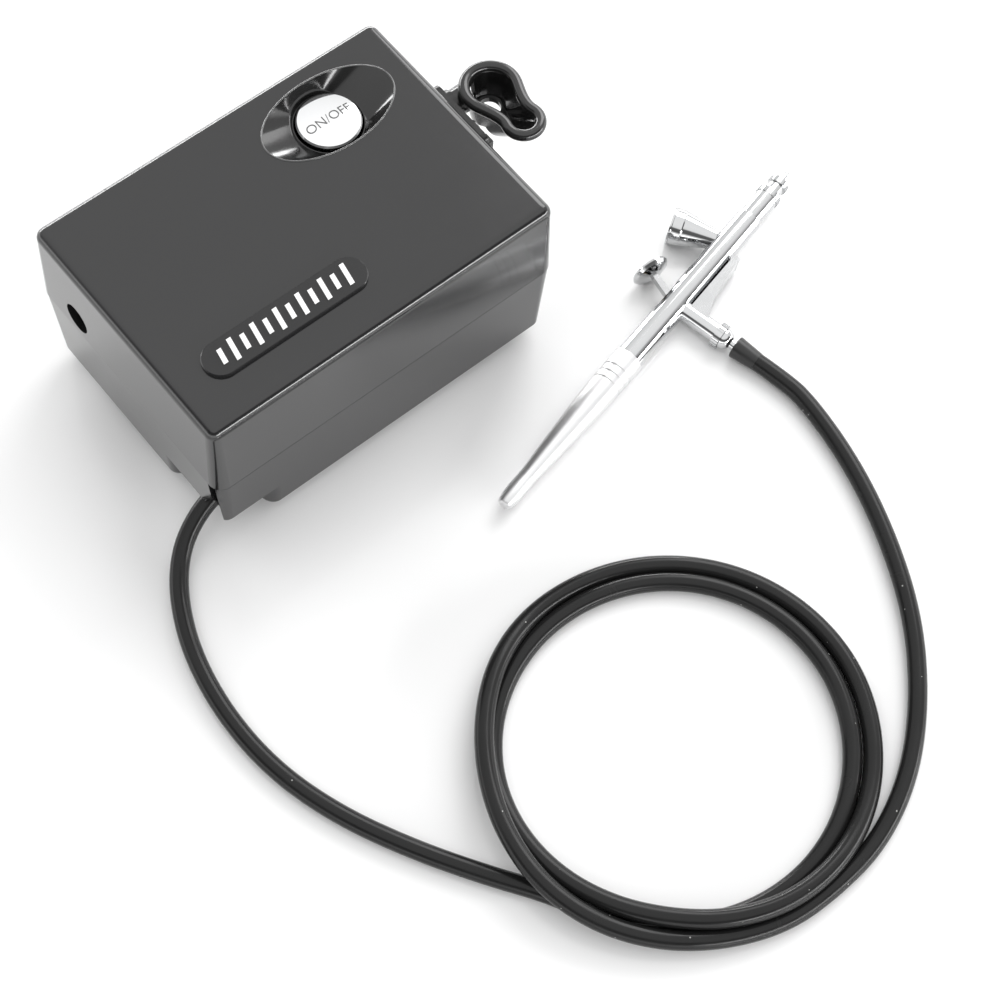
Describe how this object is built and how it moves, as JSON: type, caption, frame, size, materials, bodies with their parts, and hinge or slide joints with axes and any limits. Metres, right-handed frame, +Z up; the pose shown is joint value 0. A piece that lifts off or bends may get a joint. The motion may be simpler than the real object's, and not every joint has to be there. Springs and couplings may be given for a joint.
{
  "type": "airbrush compressor",
  "caption": "Small desk airbrush compressor with a push button in an oval dish, a swivelling airbrush holder, a coiled hose and a dual-action airbrush",
  "frame": {"origin": "On the table, under the middle of the compressor between its feet", "axes": "+X along the case towards the holder, +Y away from the hose coil, +Z up"},
  "size_m": [0.2674, 0.2926, 0.074],
  "materials": {
    "case_top": "moulded satin gloss",
    "case_base": "moulded satin gloss",
    "gloss_black": "polished",
    "button_chrome": "polished",
    "badge_dark": "polished",
    "badge_silver": "polished",
    "rubber": "matt",
    "hose_rubber": "shiny",
    "holder_black": "shiny",
    "airbrush_chrome": "polished",
    "handle_aluminium": "satin",
    "steel": "plain",
    "inner_plastic": "moulded",
    "circuit_board": "coated",
    "wire_jacket": "plain",
    "magnet": "sintered",
    "brass": "turned",
    "pump_aluminium": "cast",
    "filter_felt": "felt"
  },
  "bodies": {
    "case_and_airbrush": {"air_tube": "hose_rubber", "airbrush_body": "airbrush_chrome", "badge_bars": "badge_silver", "badge_plate": "badge_dark", "base_shell": "case_base", "bracket_screws": "steel", "button_dish": "gloss_black", "button_spring": "steel", "case_screws": "steel", "colour_cup": "airbrush_chrome", "dc_jack": "inner_plastic", "finger_rest": "airbrush_chrome", "handle": "handle_aluminium", "head_gasket": "rubber", "head_screws": "steel", "holder_bracket": "holder_black", "holder_pivot": "steel", "holder_screw": "steel", "hose_coil": "hose_rubber", "hose_grommet": "rubber", "hose_joiner": "brass", "hose_lead": "hose_rubber", "hose_sleeve": "rubber", "hose_stem": "airbrush_chrome", "hose_tail": "hose_rubber", "inlet_filter": "filter_felt", "lid_shell": "case_top", "motor_bushes": "brass", "motor_can": "steel", "motor_end_cap": "inner_plastic", "motor_magnets": "magnet", "needle_cap": "airbrush_chrome", "needle_spring": "steel", "nozzle_cap": "airbrush_chrome", "power_board": "circuit_board", "pump_bracket": "steel", "pump_cylinder": "pump_aluminium", "pump_head": "pump_aluminium", "rubber_feet": "rubber", "spring_case": "brass", "switch_body": "inner_plastic", "switch_frame": "inner_plastic", "valve_body": "airbrush_chrome", "valve_plate": "steel", "valve_spring": "steel", "wire_motor": "wire_jacket", "wire_supply": "wire_jacket"},
    "push_button": {"power_button": "button_chrome", "switch_plunger": "inner_plastic"},
    "rotor": {"motor_shaft": "steel", "armature": "steel", "eccentric": "brass"},
    "piston_set": {"piston": "pump_aluminium", "connecting_rod": "inner_plastic"},
    "cradle": {"holder_cradle": "holder_black"},
    "valve_push": {"valve_plunger": "brass"},
    "trigger_lever": {"trigger": "airbrush_chrome"},
    "needle_set": {"needle": "steel", "needle_chuck": "brass"},
    "knurled_nut": {"hose_nut": "airbrush_chrome"}
  },
  "joints": [
    {"name": "power_button_press", "type": "slide", "parent": "case_and_airbrush", "child": "push_button", "axis": [0, 0, -1], "range_m": [0, 0.002], "stiffness_N_per_m": 500, "springref_m": -0.001, "deforming": ["button_spring"]},
    {"name": "motor_spin", "type": "hinge", "parent": "case_and_airbrush", "child": "rotor", "pos_m": [-0.015, -0.006, 0.026], "axis": [1, 0, 0], "continuous": true},
    {"name": "piston_stroke", "type": "slide", "parent": "case_and_airbrush", "child": "piston_set", "axis": [0, 0, 1], "range_m": [-0.0015, 0.0015]},
    {"name": "holder_swivel", "type": "hinge", "parent": "case_and_airbrush", "child": "cradle", "pos_m": [0.0715, 0.01, 0.0605], "axis": [1, 0, 0], "range_deg": [-30, 60]},
    {"name": "trigger_press", "type": "slide", "parent": "case_and_airbrush", "child": "valve_push", "axis": [0.2298, -0.9712, -0.0624], "range_m": [0, 0.002], "stiffness_N_per_m": 600, "springref_m": -0.001},
    {"name": "trigger_pull", "type": "hinge", "parent": "valve_push", "child": "trigger_lever", "pos_m": [0.10231, -0.06624, 0.00555], "axis": [0.0064, -0.0627, 0.998], "range_deg": [0, 18], "stiffness_Nm_per_rad": 0.05, "springref_deg": -11.46},
    {"name": "needle_slide", "type": "slide", "parent": "case_and_airbrush", "child": "needle_set", "axis": [-0.9732, -0.2297, -0.0082], "range_m": [0, 0.00251]},
    {"name": "hose_nut_spin", "type": "hinge", "parent": "case_and_airbrush", "child": "knurled_nut", "pos_m": [0.10653, -0.08406, 0.00441], "axis": [0.2298, -0.9712, -0.0624], "continuous": true}
  ],
  "couplings": [
    {"joint": "needle_slide", "follows": "trigger_pull", "m_per_rad": 0.008}
  ]
}
